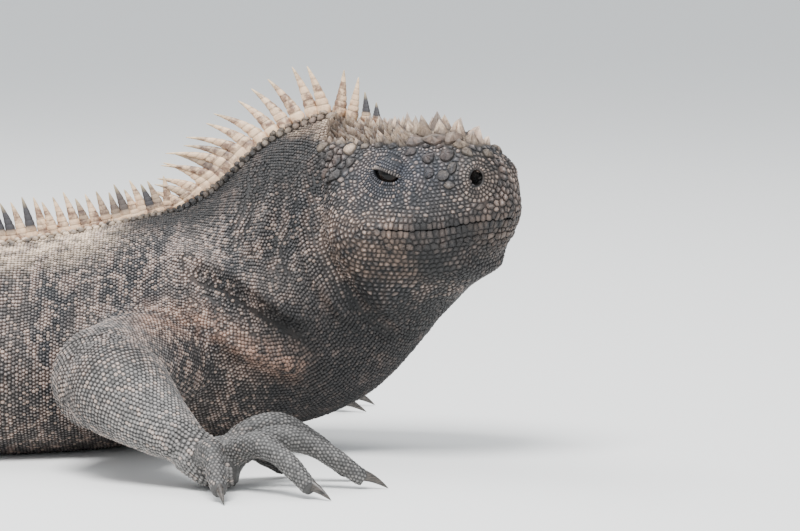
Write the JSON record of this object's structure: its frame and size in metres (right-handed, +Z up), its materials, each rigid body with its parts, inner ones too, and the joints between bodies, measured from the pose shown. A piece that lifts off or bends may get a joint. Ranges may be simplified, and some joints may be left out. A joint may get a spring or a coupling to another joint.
{
  "type": "marine iguana figure",
  "caption": "Life-size marine iguana lying on its belly with head raised and turned to its right, legs spread and tail in a gentle curve on the ground.",
  "frame": {"origin": "on the ground, in the middle of the flat that the belly rests on", "axes": "+X from the hips towards the chest, +Y to the animal's left, +Z up"},
  "size_m": [0.888, 0.3179, 0.131],
  "materials": {
    "skin": "dry scaly skin, charcoal with paler tips and cream crest",
    "paw_skin": "dry fine-scaled skin, pale grey",
    "eye": "wet, glossy, nearly black",
    "claw": "worn horn, dark"
  },
  "bodies": {
    "root": {"eye_left": "eye", "eye_right": "eye", "head": "skin", "left_foot": "paw_skin", "left_foot_claw_1": "claw", "left_foot_claw_2": "claw", "left_foot_claw_3": "claw", "left_foot_claw_4": "claw", "left_foot_claw_5": "claw", "left_forearm": "skin", "left_hand": "paw_skin", "left_hand_claw_1": "claw", "left_hand_claw_2": "claw", "left_hand_claw_3": "claw", "left_hand_claw_4": "claw", "left_hand_claw_5": "claw", "left_shank": "skin", "left_thigh": "skin", "left_upper_arm": "skin", "lower_jaw": "skin", "neck": "skin", "right_foot": "paw_skin", "right_foot_claw_1": "claw", "right_foot_claw_2": "claw", "right_foot_claw_3": "claw", "right_foot_claw_4": "claw", "right_foot_claw_5": "claw", "right_forearm": "skin", "right_hand": "paw_skin", "right_hand_claw_1": "claw", "right_hand_claw_2": "claw", "right_hand_claw_3": "claw", "right_hand_claw_4": "claw", "right_hand_claw_5": "claw", "right_shank": "skin", "right_thigh": "skin", "right_upper_arm": "skin", "tail_1": "skin", "tail_2": "skin", "tail_3": "skin", "tail_4": "skin", "tail_5": "skin", "tail_6": "skin", "torso": "skin"}
  },
  "joints": []
}
